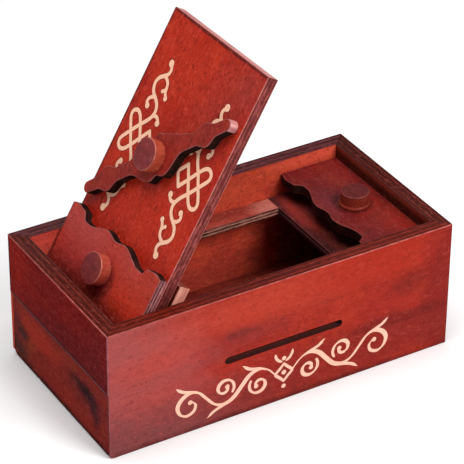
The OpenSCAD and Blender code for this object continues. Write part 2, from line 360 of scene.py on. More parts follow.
def charred(name, base, brown, local=False, seed=0.0):
    """Sawn and scorched edge of the wavy plates: near black with brownish saw marks."""
    n = Nodes(name)
    base, brown = tinted(name, base, brown)
    v = n.coords(local, (seed * 19.0, seed * 3.0, seed * 31.0))
    st = n.noise(n.scale(v, (1.0, 1.0, 0.16)), 1.5, 4.0, 0.65)
    ly = n.noise(n.scale(v, (0.1, 0.1, 1.6)), 0.8, 3.0, 0.6)
    bl = n.noise(v, 0.16, 3.0, 0.55)
    col = n.mix(n.ramp(bl, 0.35, 0.7, 0.0, 0.75), base, brown)
    col = n.mix(n.ramp(ly, 0.45, 0.72, 0.0, 0.5), col, brown)
    col = n.mix(n.ramp(st, 0.45, 0.75, 0.0, 0.6), col, tuple(c * 0.35 for c in base))
    nrm = n.bump(n.math("ADD", st, n.math("MULTIPLY", ly, 0.5)), 0.5, 0.00025)
    return n.finish(col, n.ramp(st, 0.3, 0.7, 0.5, 0.72), nrm, 0.04)


def bare_wood(name, base, light, dark, grain="y", local=False, seed=0.0, rough=0.55):
    """Unstained pale hardwood with a rubbed-in pink tint from the stain."""
    n = Nodes(name)
    base, light, dark = tinted(name, base, light, dark)
    v = n.coords(local, (seed * 7.0, seed * 43.0, seed * 3.0))
    g = n.scale(v, GRAIN[grain])
    a = n.noise(g, 0.5, 5.0, 0.6, 0.3)
    b = n.noise(g, 2.2, 3.0, 0.6)
    c = n.noise(v, 0.12, 3.0, 0.6)
    col = n.mix(n.ramp(a, 0.35, 0.68), light, base)
    col = n.mix(n.ramp(b, 0.5, 0.75, 0.0, 0.55), col, dark)
    col = n.mix(n.ramp(c, 0.48, 0.75, 0.0, 0.5), col, dark)
    nrm = n.bump(n.math("ADD", b, n.math("MULTIPLY", a, 0.4)), 0.35, 0.0002)
    return n.finish(col, n.ramp(b, 0.3, 0.7, rough - 0.05, rough + 0.1), nrm, 0.12)


def paint(name, base, edge, local=False, seed=0.0):
    """Thin stencilled paint: slightly uneven cover with the wood's texture coming through."""
    n = Nodes(name)
    base, edge = tinted(name, base, edge)
    v = n.coords(local, (seed * 3.0, seed * 9.0, seed * 27.0))
    a = n.noise(v, 0.8, 4.0, 0.6)
    b = n.noise(v, 4.0, 3.0, 0.6)
    col = n.mix(n.ramp(a, 0.4, 0.75, 0.0, 0.45), base, edge)
    col = n.mix(n.ramp(b, 0.58, 0.8, 0.0, 0.35), col, edge)
    return n.finish(col, n.ramp(a, 0.3, 0.7, 0.45, 0.6), n.bump(b, 0.3, 0.00008), 0.12)


# ---------------------------------------------------------------- geometry kit


def link(ob):
    bpy.context.scene.collection.objects.link(ob)
    return ob


def mesh_object(name, bm, mats, smooth=True):
    me = bpy.data.meshes.new(name)
    bm.normal_update()
    bm.to_mesh(me)
    bm.free()
    for m in mats:
        me.materials.append(m)
    if smooth:
        for p in me.polygons:
            p.use_smooth = True
    ob = link(bpy.data.objects.new(name, me))
    return ob


def weighted(ob):
    md = ob.modifiers.new("wn", "WEIGHTED_NORMAL")
    md.keep_sharp = False
    md.weight = 60
    return ob


def from_node(name, node, r, mats, pick, xf=None, seg=2, angle=28.0):
    """Copies a CAD node's mesh, merges its flat faces, rounds its arrises by r mm and
    picks each face's material from its normal and centre in the piece's own frame."""
    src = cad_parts[node].data
    bm = bmesh.new()
    bm.from_mesh(src)
    bmesh.ops.remove_doubles(bm, verts=bm.verts, dist=2e-6)
    bmesh.ops.dissolve_limit(bm, angle_limit=math.radians(0.6), verts=bm.verts, edges=bm.edges)
    bm.normal_update()
    back = (xf.inverted() if xf else IDENT)
    rot = back.to_3x3()
    sharp = []
    for e in bm.edges:
        if len(e.link_faces) == 2 and e.calc_face_angle(0.0) > math.radians(angle):
            sharp.append(e)
    if r:
        bmesh.ops.bevel(bm, geom=sharp, offset=r * MM, segments=seg, profile=0.5, affect="EDGES",
                        clamp_overlap=True, loop_slide=True, harden_normals=False)
    bm.normal_update()
    for f in bm.faces:
        nn = rot @ f.normal
        c = (back @ f.calc_center_median()) * 1000
        f.material_index = pick(nn, c)
    return weighted(mesh_object(name, bm, mats))


def axis_pick(table, arris):
    """table maps '+x', '-x', ... to a material index; anything not axis-aligned is an arris."""
    def pick(nn, c):
        for k, i in table.items():
            s = 1 if k[0] == "+" else -1
            if nn["xyz".index(k[1])] * s > 0.985:
                return i
        return arris
    return pick


def slab(name, outline, z0, z1, r, mats, xf=None, seg=3, end_pick=None):
    """Extrudes a smooth outline (mm, counter-clockwise) from z0 to z1 with rounded arrises of radius r.
    Material 0 is the flat faces, 1 the sides and 2 the arrises; end_pick may choose another side material."""
    n = len(outline)
    pts = [Vector((p[0], p[1])) for p in outline]
    nor = []
    for i in range(n):
        a, b = pts[i] - pts[i - 1], pts[(i + 1) % n] - pts[i]
        na = Vector((a.y, -a.x)).normalized()
        nb = Vector((b.y, -b.x)).normalized()
        m = na + nb
        m = m.normalized() if m.length > 1e-6 else na
        m = m / max(0.35, m.dot(na))
        nor.append(m)
    rings = []
    for i in range(seg + 1):
        t = math.pi / 2 * i / seg
        rings.append((r * (1 - math.sin(t)), z0 + r * (1 - math.cos(t))))
    for i in range(seg + 1):
        t = math.pi / 2 * (1 - i / seg)
        rings.append((r * (1 - math.sin(t)), z1 - r * (1 - math.cos(t))))
    bm = bmesh.new()
    rows = []
    for ins, z in rings:
        rows.append([bm.verts.new(((pts[i].x - nor[i].x * ins) * MM, (pts[i].y - nor[i].y * ins) * MM, z * MM))
                     for i in range(n)])
    for k in range(len(rows) - 1):
        for i in range(n):
            j = (i + 1) % n
            f = bm.faces.new((rows[k][i], rows[k][j], rows[k + 1][j], rows[k + 1][i]))
            f.material_index = 1 if k == seg else 2
            if end_pick:
                mid = (pts[i] + pts[j]) / 2
                q = end_pick(mid, nor[i])
                if q is not None and k == seg:
                    f.material_index = q
    f = bm.faces.new(rows[-1])
    f.material_index = 0
    f = bm.faces.new(list(reversed(rows[0])))
    f.material_index = 0
    if xf is not None:
        bmesh.ops.transform(bm, matrix=xf, verts=bm.verts)
    return weighted(mesh_object(name, bm, mats))


def lathe(name, profile, mats, xf, seg=96, pick=None):
    """Turns a profile of (radius, z) mm about Z. pick(k) gives the material of the band after point k."""
    bm = bmesh.new()
    rows = []
    for rad, z in profile:
        if rad < 1e-6:
            rows.append([bm.verts.new((0, 0, z * MM))])
        else:
            rows.append([bm.verts.new((rad * MM * math.cos(2 * math.pi * i / seg),
                                       rad * MM * math.sin(2 * math.pi * i / seg), z * MM)) for i in range(seg)])
    for k in range(len(rows) - 1):
        a, b = rows[k], rows[k + 1]
        for i in range(seg):
            j = (i + 1) % seg
            if len(a) == 1:
                f = bm.faces.new((a[0], b[j], b[i]))
            elif len(b) == 1:
                f = bm.faces.new((a[i], a[j], b[0]))
            else:
                f = bm.faces.new((a[i], a[j], b[j], b[i]))
            f.material_index = pick(k) if pick else 0
    bmesh.ops.recalc_face_normals(bm, faces=bm.faces)
    bmesh.ops.transform(bm, matrix=xf, verts=bm.verts)
    return weighted(mesh_object(name, bm, mats))


def ease(a, b, t):
    return a + (b - a) * (1 - math.cos(math.pi * t)) / 2


def ripple(keys, v):
    i = 0
    while i < len(keys) - 2 and v > keys[i + 1][0]:
        i += 1
    t = (v - keys[i][0]) / (keys[i + 1][0] - keys[i][0])
    return ease(keys[i][1], keys[i + 1][1], min(1.0, max(0.0, t)))


PLATE_RIPPLE = [(0, 0.9), (7.5, -0.6), (22.3, 3.6), (25.2, 3.6), (29, 0), (34.5, -0.8), (40, 0.2)]
LATCH_RIPPLE = [(0, 8.9), (4.2, 10.4), (18.5, 3.3), (25.5, 3.3), (33.3, 6), (40.3, 3), (46.4, 2.8)]
LATCH_FULL = [(0, 9.4), (3, 10.2), (8, 8.5), (13, 6.8), (18, 5.1), (25, 3.2), (33.3, 5.2), (40.3, 3), (46.4, 2.8)]


def round_corners(poly, rr, steps=4):
    """Rounds every corner of a closed polygon by rr mm."""
    out = []
    n = len(poly)
    for i in range(n):
        p, a, b = Vector(poly[i]), Vector(poly[i - 1]), Vector(poly[(i + 1) % n])
        u, w = (a - p).normalized(), (b - p).normalized()
        for k in range(steps + 1):
            t = k / steps
            q = p + u * rr * (1 - t) ** 2 + w * rr * t ** 2
            out.append((q.x, q.y))
    return out


def plate_outline(length, width, lead=0.25):
    """Plate whose rippled end faces +X at x = 0, body towards -X."""
    n = 180
    y0, y1 = -width / 2 + lead, width / 2 - lead
    edge = [(-ripple(PLATE_RIPPLE, abs(y0 + (y1 - y0) * i / n)), y0 + (y1 - y0) * i / n) for i in range(n + 1)]
    e0, e1 = edge[0][0], edge[-1][0]
    pts = [(e0 - lead, -width / 2)] + edge + [(e1 - lead, width / 2)]
    pts += [(-length + lead, width / 2), (-length, width / 2 - lead), (-length, -width / 2 + lead), (-length + lead, -width / 2)]
    return pts


def latch_outline():
    half = 49.2 - 2.8
    pts = []
    n = 200
    for i in range(n + 1):
        a = -half + 2 * half * i / n
        pts.append((a, -ripple(LATCH_RIPPLE, abs(a) * 46.4 / half)))
    for i in range(1, 12):
        t = math.pi * i / 12
        pts.append((half + 2.8 * math.sin(t), -2.8 * math.cos(t)))
    for i in range(n + 1):
        a = half - 2 * half * i / n
        pts.append((a, ripple(LATCH_FULL if a > 0 else LATCH_RIPPLE, abs(a) * 46.4 / half)))
    for i in range(1, 12):
        t = math.pi * i / 12
        pts.append((-half - 2.8 * math.sin(t), 2.8 * math.cos(t)))
    return pts


def polyline(points, closed=False, step=0.35):
    """Catmull-Rom curve through the points, resampled evenly."""
    p = [Vector(q[:2]) for q in points]
    n = len(p)
    out = []
    last = n if closed else n - 1
    for i in range(last):
        a, b = p[i], p[(i + 1) % n]
        z = p[(i - 1) % n] if (closed or i > 0) else a * 2 - b
        c = p[(i + 2) % n] if (closed or i + 2 < n) else b * 2 - a
        k = max(2, int((b - a).length / step))
        for j in range(k):
            t = j / k
            q = 0.5 * ((2 * a) + (b - z) * t + (2 * z - 5 * a + 4 * b - c) * t * t + (3 * a - z - 3 * b + c) * t ** 3)
            out.append(q)
    if not closed:
        out.append(p[-1])
    else:
        out.append(out[0].copy())
    return out


def distance_field(strokes, balls, x0, y0, nx, ny, cell, reach):
    """Distance in mm from the painted strokes, negative inside, on a grid.
    A stroke is (points, start half-width, middle half-width, end half-width) and, when drawn with a broad
    pen, the pen's direction: it is thinner where it runs along that direction."""
    import numpy as np
    d = np.full((ny, nx), reach, float)

    def window(ax, ay, bx, by, r):
        i0 = max(0, int((min(ax, bx) - r - x0) / cell)); i1 = min(nx, int((max(ax, bx) + r - x0) / cell) + 2)
        j0 = max(0, int((min(ay, by) - r - y0) / cell)); j1 = min(ny, int((max(ay, by) + r - y0) / cell) + 2)
        xs = x0 + np.arange(i0, i1) * cell
        ys = y0 + np.arange(j0, j1) * cell
        return i0, i1, j0, j1, xs[None, :], ys[:, None]

    for pts, w0, w1, w2, *pen in strokes:
        total = sum((pts[i + 1] - pts[i]).length for i in range(len(pts) - 1))
        run = 0.0
        for i in range(len(pts) - 1):
            a, b = pts[i], pts[i + 1]
            ln = (b - a).length
            if ln < 1e-6:
                continue
            t = (run + ln / 2) / total
            run += ln
            w = w0 + (w1 - w0) * min(1.0, t * 5) if t < 0.5 else w2 + (w1 - w2) * min(1.0, (1 - t) * 5)
            if pen:
                w *= 0.50 + 0.58 * abs((b.x - a.x) * pen[0][1] - (b.y - a.y) * pen[0][0]) / ln
            i0, i1, j0, j1, X, Y = window(a.x, a.y, b.x, b.y, w + reach)
            u = np.clip(((X - a.x) * (b.x - a.x) + (Y - a.y) * (b.y - a.y)) / (ln * ln), 0, 1)
            e = np.hypot(X - a.x - u * (b.x - a.x), Y - a.y - u * (b.y - a.y)) - w
            d[j0:j1, i0:i1] = np.minimum(d[j0:j1, i0:i1], e)
    for cx, cy, r in balls:
        i0, i1, j0, j1, X, Y = window(cx, cy, cx, cy, r + reach)
        d[j0:j1, i0:i1] = np.minimum(d[j0:j1, i0:i1], np.hypot(X - cx, Y - cy) - r)
    return d


def contours(d, level, x0, y0, cell, tol=0.008):
    """Closed loops where the field crosses the level, thinned to tol mm."""
    ny, nx = d.shape
    f = d - level
    f[abs(f) < 1e-9] = 1e-9
    seg = {}

    def cut(i, j, k):
        # k 0: edge from (i,j) to (i+1,j); 1: edge from (i,j) to (i,j+1)
        a = f[j, i]
        b = f[j, i + 1] if k == 0 else f[j + 1, i]
        t = a / (a - b)
        return (x0 + (i + (t if k == 0 else 0)) * cell, y0 + (j + (0 if k == 0 else t)) * cell)

    inside = f < 0
    for j in range(ny - 1):
        row = inside[j, :-1].astype(int) + inside[j, 1:] * 2 + inside[j + 1, 1:] * 4 + inside[j + 1, :-1] * 8
        for i in ((row > 0) & (row < 15)).nonzero()[0]:
            i = int(i)
            c = int(row[i])
            e = {"s": (i, j, 0), "e": (i + 1, j, 1), "n": (i, j + 1, 0), "w": (i, j, 1)}
            pairs = {1: ("w", "s"), 2: ("s", "e"), 3: ("w", "e"), 4: ("e", "n"), 6: ("s", "n"), 7: ("w", "n"),
                     8: ("n", "w"), 9: ("n", "s"), 11: ("n", "e"), 12: ("e", "w"), 13: ("e", "s"), 14: ("s", "w")}
            if c in (5, 10):
                todo = [("w", "s"), ("e", "n")] if c == 5 else [("s", "e"), ("n", "w")]
            else:
                todo = [pairs[c]]
            for a, b in todo:
                seg[e[a]] = e[b]
    loops = []
    while seg:
        start, nxt = seg.popitem()
        loop = [start]
        while nxt != start and nxt in seg:
            loop.append(nxt)
            nxt = seg.pop(nxt)
        pts = [Vector(cut(*k)) for k in loop]
        keep = [pts[0]]
        for q in range(1, len(pts) - 1):
            a, m, b = keep[-1], pts[q], pts[q + 1]
            v = b - a
            if v.length < 1e-9:
                continue
            off = abs((m - a).x * v.y - (m - a).y * v.x) / v.length
            if off > tol or (m - a).length > 1.2:
                keep.append(m)
        if len(keep) > 6:
            loops.append(keep)
    return loops


def inlay(name, strokes, balls, xf, mats, lip=0.28, h=0.07, cell=0.12):
    """Painted ornament as a thin closed body: a flat painted top, and a darker lip sloping to the wood."""
    xs = [p.x for s in strokes for p in s[0]] + [b[0] for b in balls]
    ys = [p.y for s in strokes for p in s[0]] + [b[1] for b in balls]
    x0, y0 = min(xs) - 4, min(ys) - 4
    nx, ny = int((max(xs) + 4 - x0) / cell) + 2, int((max(ys) + 4 - y0) / cell) + 2
    d = distance_field(strokes, balls, x0, y0, nx, ny, cell, 1.5)
    top = contours(d, 0.0, x0, y0, cell)
    low = contours(d, lip, x0, y0, cell)
    bm = bmesh.new()

    def verts(loops, z):
        return [[bm.verts.new((p.x * MM, p.y * MM, z * MM)) for p in lp] for lp in loops]

    tv, lv, bv = verts(top, h), verts(low, h * 0.25), verts(low, 0.0)

    def fill(groups, loops, index, flip=False):
        flat_v = [v for g in groups for v in g]
        tris = tessellate_polygon([[Vector((p.x, p.y, 0)) for p in lp] for lp in loops])
        for t in tris:
            vs = [flat_v[k] for k in t]
            a, b, c = (Vector((v.co.x, v.co.y)) for v in vs)
            area = (b - a).x * (c - a).y - (b - a).y * (c - a).x
            if abs(area) < 1e-14:
                continue
            if (area < 0) != flip:
                vs.reverse()
            try:
                f = bm.faces.new(vs)
                f.material_index = index
            except ValueError:
                pass

    fill(tv, top, 0)
    fill(tv + lv, top + low, 1)
    fill(bv, low, 1, True)
    for g, k in zip(lv, bv):
        n = len(g)
        for i in range(n):
            j = (i + 1) % n
            try:
                f = bm.faces.new((k[i], k[j], g[j], g[i]))
                f.material_index = 1
            except ValueError:
                pass
    bmesh.ops.recalc_face_normals(bm, faces=bm.faces)
    bmesh.ops.transform(bm, matrix=xf, verts=bm.verts)
    return mesh_object(name, bm, mats, smooth=False)


# ---------------------------------------------------------------- materials

C = srgb
M = {}
# box faces
M["front"] = wood_face("front_stain_and_sheen", C(142, 44, 40), C(184, 56, 42), C(204, 70, 48), "x", seed=1.0, rough=0.42, spec=0.05, streak=0.55, fleck=0.38, pore=0.22,
                       # painted sheen: the first patch, pale mauve over the left part of the face
                       patches=[((-86, -47, 34), (44, 40, 60), C(186, 112, 120), 0.8),
                                ((-66, -47, 43), (20, 40, 7), C(212, 88, 78), 0.6, 0.8),
                                ((-62, -47, 24), (22, 40, 9), C(196, 84, 80), 0.5, 0.7),
                                ((-34, -47, 62), (34, 40, 4), C(170, 60, 50), 0.5, 0.6),
                                ((67, -47, 43), (9, 40, 6), C(118, 36, 36), 0.6, 0.8),
                                ((18, -47, 50), (26, 40, 4), C(170, 54, 44), 0.45, 0.6),
                                ((-86, -47, 8), (8, 40, 14), C(146, 94, 104), 0.65, 0.6),
                                ((80, -47, 28), (12, 40, 3.5), C(204, 60, 50), 0.65, 0.7),
                                ((-66, -47, 3), (30, 40, 7), C(130, 100, 110), 0.75, 0.7),
                                ((-64, -47, 6), (60, 40, 15), C(148, 84, 90), 0.7),
                                ((-8, -47, 57), (52, 40, 11), C(222, 90, 68), 0.6, 0.7),
                                ((-17, -47, 43), (20, 40, 4.6), C(150, 62, 64), 0.55, 0.8, 0.4),
                                ((-24, -47, 44.5), (8, 40, 1.6), C(122, 48, 52), 0.6, 0.8, 0.4),
                                ((58, -47, 58), (44, 40, 11), C(196, 58, 38), 0.75),
                                ((88, -47, 30), (13, 40, 50), C(140, 38, 36), 0.7),
                                ((34, -47, 14), (70, 40, 13), C(146, 46, 44), 0.65),
                                ((60, -47, 24), (26, 40, 3), C(112, 34, 34), 0.5),
                                ((0, -47, -1), (100, 40, 3.5), C(84, 30, 32), 0.75)])
M["back"] = wood_face("back_stain", C(132, 38, 32), C(170, 50, 38), C(196, 66, 44), "x", seed=2.0, streak=0.6, drift=0.6,
                      patches=[((0, 47, -1), (110, 40, 3.5), C(78, 28, 28), 0.8), ((40, 47, 48), (40, 40, 9), C(206, 74, 50), 0.5, 0.8),
                               ((-52, 47, 20), (30, 40, 8), C(136, 42, 42), 0.55, 0.8), ((66, 47, 14), (22, 40, 5), C(120, 38, 38), 0.5, 0.9),
                               ((-30, 47, 55), (18, 40, 5), C(142, 50, 46), 0.5, 0.8), ((-88, 47, 40), (6, 40, 30), C(120, 46, 52), 0.6, 0.8)])
M["right"] = wood_face("right_stain", C(128, 36, 32), C(162, 46, 36), C(184, 60, 42), "y", seed=3.0, streak=0.6, drift=0.6,
                       patches=[((90, 0, -1), (40, 60, 3.5), C(74, 26, 28), 0.85), ((90, 12, 46), (40, 22, 9), C(196, 66, 46), 0.5, 0.8),
                                ((90, -26, 18), (40, 14, 8), C(116, 34, 36), 0.55, 0.9), ((90, 30, 16), (40, 7, 4), C(86, 30, 32), 0.6, 0.9, 0.4)])
M["left"] = wood_face("left_stain", C(78, 24, 28), C(112, 30, 28), C(126, 38, 32), "y", seed=4.0, rough=0.5, spec=0.003,
                      patches=[((-90, -20, 40), (6, 40, 10), C(84, 28, 34), 0.7),
                               ((-90, -38, 52), (6, 9, 12), C(92, 34, 44), 0.5, 0.8),
                               ((-90, 38, 56), (6, 11, 11), C(134, 36, 30), 0.7, 0.8),
                               ((-90, 47.4, 50), (6, 1.4, 30), C(58, 26, 30), 0.8),
                               ((-90, 0, 35.4), (6, 70, 1.5), C(70, 26, 34), 0.7, 0.5)])
M["drawer_front"] = wood_face("drawer_front_stain", C(96, 30, 28), C(138, 38, 30), C(158, 50, 34), "y", seed=5.0, rough=0.5, spec=0.003,
                              drift=0.55,
                              patches=[((-89, 20, 24), (5, 22, 6), C(180, 48, 32), 0.8, 0.7),
                                       ((-89, -10, 22), (5, 8, 6), C(150, 44, 34), 0.5, 0.8),
                                       ((-89, -4, 9), (5, 26, 6), C(160, 44, 32), 0.55, 0.7),
                                       ((-89, -24, 21), (5, 15, 7.0), C(96, 34, 34), 0.6, 0.8, 0.35),
                                       ((-89, -18.5, 23.5), (5, 8.5, 2.6), C(58, 26, 24), 0.8, 0.9, 0.45, 0.2),
                                       ((-89, -26.5, 22.6), (5, 7.0, 3.2), C(44, 24, 28), 0.9, 0.8, 0.45, 0.2),
                                       ((-89, -32.2, 18.6), (5, 3.8, 4.6), C(50, 27, 32), 0.85, 0.8, 0.4, 0.25),
                                       ((-89, -34.4, 13.0), (5, 2.6, 4.6), C(66, 30, 34), 0.75, 0.9, 0.4, 0.25),
                                       ((-89, 42, 22), (5, 4, 7), C(92, 38, 42), 0.6, 0.9, 0.4),
                                       ((-89, 37, 17.5), (5, 5, 3.4), C(52, 38, 34), 0.85, 0.8, 0.4, 0.25),
                                       ((-89, 42, 7), (5, 10, 5), C(66, 42, 36), 0.8, 0.7, 0.4, 0.2),
                                       ((-89, 0, -0.6), (5, 70, 3.4), C(48, 24, 24), 0.9, 0.45, 0.3),
                                       ((-89, 47.3, 16), (5, 1.6, 24), C(70, 30, 32), 0.8),
                                       ((-89, -47.3, 16), (5, 1.8, 24), C(96, 40, 46), 0.6)])
M["inner"] = wood_face("inner_stain_and_shade", C(112, 40, 30), C(166, 56, 38), C(196, 74, 48), "x", seed=6.0, rough=0.46,
                       # painted shade: the first patch darkens the lower right end under the cross ledge and right
                       # plate
                       patches=[((66, 40, 18), (26, 6, 32), C(40, 14, 12), 0.85, 0.7),
                                ((72, 40, 63), (22, 6, 4), C(206, 84, 58), 0.7, 0.7),
                                ((22, 40, 56), (14, 6, 7), C(190, 80, 50), 0.5, 0.8),
                                ((-76, 40, 59), (9, 6, 7), C(196, 82, 72), 0.5, 0.8),
                                ((-4, 40, 14), (40, 6, 7), C(132, 48, 42), 0.5, 0.8),
                                ((0, 40, 44), (90, 6, 3), C(84, 30, 26), 0.5, 0.6)])
M["inner_end"] = wood_face("inner_end_stain", C(112, 40, 30), C(160, 54, 38), C(186, 70, 46), "y", seed=7.0, rough=0.46)
dk, lt = C(70, 26, 30), C(112, 50, 52)
M["rim_y"] = ply_edge("rim_long", "Y", 40.0, 1.5, dk, lt, seed=1.0, along="x", speck=0.35)
M["rim_x"] = ply_edge("rim_end", "X", 82.5, 1.5, dk, lt, seed=2.0, along="y", speck=0.45)
M["slot"] = ply_edge("slot_edge", "Y", 40.0, 2.5, C(66, 24, 19), C(112, 46, 36), seed=3.0, along="x")
M["rim_back"] = ply_edge("rim_back", "Y", 40.0, 1.5, dk, lt, seed=11.0, along="x", speck=0.35)
# painted shade: the right wall's inner face is a darker copy of the inner finish, with a lighter band along its top
M["inner_right_shaded"] = wood_face("inner_right_stain_and_shade", C(66, 22, 16), C(96, 32, 22), C(120, 42, 28), "y", seed=23.0, rough=0.5, spec=0.04,
                             patches=[((82, 0, 66.6), (6, 60, 3.2), C(232, 98, 78), 0.62, 0.6, 0.1)])
# painted highlight over wear: the pale rim arris and corner arris light the front and left walls' outer rim edges and
# their front-left corner
M["arris"] = arris_wear_and_highlight("rubbed_arris_and_highlight", C(142, 54, 50), C(196, 104, 94), seed=1.0, amount=0.75)
M["arris_dark"] = arris_wear_and_highlight("dark_arris", C(80, 30, 32), C(140, 70, 70), seed=2.0, amount=0.5)
M["arris_seam"] = arris_wear_and_highlight("seam_arris", C(92, 40, 50), C(140, 78, 90), seed=3.0, amount=0.85)
M["arris_corner"] = arris_wear_and_highlight("corner_arris_and_highlight", C(116, 58, 68), C(164, 98, 106), seed=4.0, amount=0.8)
M["under"] = wood_face("underside_stain", C(104, 36, 30), C(140, 50, 38), C(160, 64, 46), "x", seed=8.0, rough=0.55)
# ledges and inner boards
M["ledge"] = wood_face("ledge_stain_and_highlight", C(118, 40, 38), C(158, 62, 54), C(186, 92, 82), "x", seed=9.0, rough=0.45,
                       # painted highlight: the pale pink patch at the ledge's right end
                       patches=[((41, 35, 47), (8, 10, 3), C(210, 140, 134), 0.7, 0.7), ((10, 37, 47), (22, 3, 3), C(120, 46, 42), 0.5, 0.8)])
M["ledge_ply"] = ply_edge("ledge_edge", "Z", 42.9, 0.82, C(46, 20, 20), C(206, 146, 132), seed=4.0, along="x", contrast=1.0, wave=0.05,
                          line=0.7, speck=0.25)
M["cross"] = wood_face("cross_stain_and_shade", C(66, 22, 22), C(92, 30, 28), C(118, 42, 36), "y", seed=10.0, rough=0.45,
                       # painted shade: the dark patches at x 49 to 58 darken the ledge near and under the right plate's
                       # wavy edge
                       patches=[((45.4, 0, 47), (2.4, 60, 3), C(54, 26, 32), 0.75, 0.4), ((50, 17, 47), (4, 15, 3), C(160, 50, 42), 0.75, 0.8), ((58, 0, 47), (5, 60, 3), C(40, 16, 16), 0.6, 0.5),
                                ((58, -26, 47), (5, 14, 3), C(34, 14, 14), 0.75, 0.6),
                                 ((49, -8, 47), (9, 16, 3), C(44, 12, 9), 0.65, 0.8)])
M["cross_ply"] = ply_edge("cross_edge", "Z", 42.9, 1.37, C(46, 26, 30), C(116, 92, 98), seed=5.0, along="y", contrast=0.9)
M["spacer"] = ply_edge("spacer_edge", "Z", 47.0, 1.7, C(84, 44, 44), C(146, 92, 88), seed=6.0, along="y")
M["rplate"] = wood_face("right_plate_stain_and_shadow", C(84, 26, 26), C(126, 38, 32), C(150, 50, 38), "y", seed=11.0, rough=0.40, blotch=0.75,
                        drift=0.5, patches=[((60, 18, 58.6), (7, 10, 3), C(108, 30, 30), 0.5),
                                            ((76, -25, 58.6), (10, 13, 4), C(166, 50, 34), 0.65, 0.8),
                                            ((58, 4, 58.6), (6, 12, 4), C(126, 54, 62), 0.6, 0.8),
                                            ((78, 30, 58.6), (6, 10, 4), C(150, 46, 36), 0.5, 0.8),
                                            # painted light round the right knob's foot: an orange ring of reflected
                                            # light and a dark ring of shadow
                                            ((68.4, -1.6, 58.6), (10.2, 10.2, 4), C(160, 44, 28), 0.7, 0.25, 0.1),
                                            ((66.4, 0.4, 58.6), (9.3, 9.3, 4), C(56, 18, 18), 0.7, 0.2, 0.1)])
M["char"] = charred("charred_edge", C(24, 12, 11), C(58, 29, 24), seed=1.0)
M["char_arris"] = arris_wear_and_highlight("charred_arris", C(92, 36, 34), C(156, 78, 72), seed=5.0, amount=0.5)
M["drawer_in"] = wood_face("drawer_inside_stain", C(104, 38, 30), C(148, 54, 38), C(176, 70, 48), "x", seed=13.0, rough=0.5)
# lid group, in the closed lid's frame
M["lid"] = wood_face("lid_stain_and_sheen", C(150, 34, 24), C(182, 44, 28), C(206, 64, 38), "x", True, seed=14.0, rough=0.36, streak=0.5, fleck=0.7,
                     patches=[((38, 20, 53), (18, 24, 6), C(196, 58, 34), 0.45, 0.8),
                              # painted sheen: the two mauve patches near the front edge towards the raised end
                              ((26, -22, 53), (22, 16, 6), C(160, 62, 60), 0.55, 0.9),
                              ((40, -32, 53), (10, 8, 6), C(150, 66, 68), 0.5, 0.9),
                              ((-26, 12, 53), (16, 20, 6), C(206, 58, 34), 0.6, 0.8),
                              ((-36, -16, 53), (14, 12, 6), C(200, 56, 36), 0.5, 0.8),
                              ((-8, 0, 53), (12, 14, 6), C(150, 40, 34), 0.35, 0.9),
                              ((49.3, 0, 53), (1.5, 60, 4), C(78, 26, 24), 0.9, 0.3, 0.1),
                              ((0, 39.2, 53), (110, 1.5, 4), C(84, 28, 26), 0.8, 0.5, 0.2)])
M["lid_ply"] = ply_edge("lid_edge", "Z", 47.2, 1.16, C(86, 38, 46), C(128, 70, 80), True, seed=7.0, along="x", contrast=0.7, line=0.5,
                        speck=0.5, shade=("X", -68.0, -44.0, 0.6))
M["lid_end"] = bare_wood("lid_end_grain", C(176, 104, 100), C(206, 140, 134), C(120, 62, 62), "y", True, seed=5.0)
M["lid_end_arris"] = arris_wear_and_highlight("lid_end_arris", C(92, 30, 28), C(130, 52, 48), True, seed=10.0, amount=0.4)
# painted highlight: pale colour along the lid's arrises
M["lid_arris_highlight"] = arris_wear_and_highlight("lid_arris_highlight", C(150, 60, 56), C(214, 138, 130), True, seed=6.0, amount=0.6)
M["lid_arris_back"] = arris_wear_and_highlight("lid_arris_back", C(84, 28, 28), C(120, 46, 42), True, seed=11.0, amount=0.5)
M["lplate"] = wood_face("left_plate_stain_and_shadow", C(120, 38, 34), C(154, 54, 48), C(170, 66, 54), "y", True, seed=16.0, rough=0.38,
                        patches=[((-76, -26, 57.5), (13, 15, 9), C(186, 54, 32), 0.85, 0.8),
                                 ((-62, -24, 57.5), (9, 12, 9), C(170, 62, 46), 0.5, 0.8),
                                 ((-57, 20, 57.5), (9, 18, 9), C(166, 74, 76), 0.65, 0.8),
                                 ((-72, 22, 57.5), (9, 14, 9), C(150, 56, 60), 0.6, 0.8),
                                 ((-56, -16, 57.5), (6, 9, 9), C(170, 76, 74), 0.45, 0.8),
                                 # painted shadow round the knob's foot, and painted shade along the plate's left end
                                 # under the rim (last patch)
                                 ((-69.6, -1.8, 57.5), (9.6, 9.6, 9), C(76, 24, 24), 0.72, 0.25, 0.05),
                                 ((-68, 39.3, 57.5), (40, 1.0, 9), C(66, 24, 26), 0.85, 0.4, 0.1),
                                 ((-87, 0, 57.5), (11.4, 90, 9), C(36, 12, 12), 0.95, 0.75, 0.06)])
M["lplate_ply"] = ply_edge("left_plate_edge", "Z", 53.2, 0.78, C(84, 44, 54), C(176, 126, 134), True, seed=8.0, along="x", wave=0.06,
                           line=0.45, speck=0.3)
M["lchar"] = charred("charred_edge_lid", C(25, 14, 12), C(62, 32, 27), True, seed=2.0)
M["lchar_arris"] = arris_wear_and_highlight("charred_arris_lid", C(112, 46, 44), C(176, 100, 96), True, seed=7.0, amount=0.6)
M["strip"] = wood_face("latch_stain", C(98, 34, 34), C(136, 48, 44), C(152, 58, 48), "x", True, seed=17.0, rough=0.38)
M["strip_end"] = bare_wood("latch_end", C(168, 100, 98), C(216, 156, 152), C(116, 58, 58), "z", True, seed=1.0)
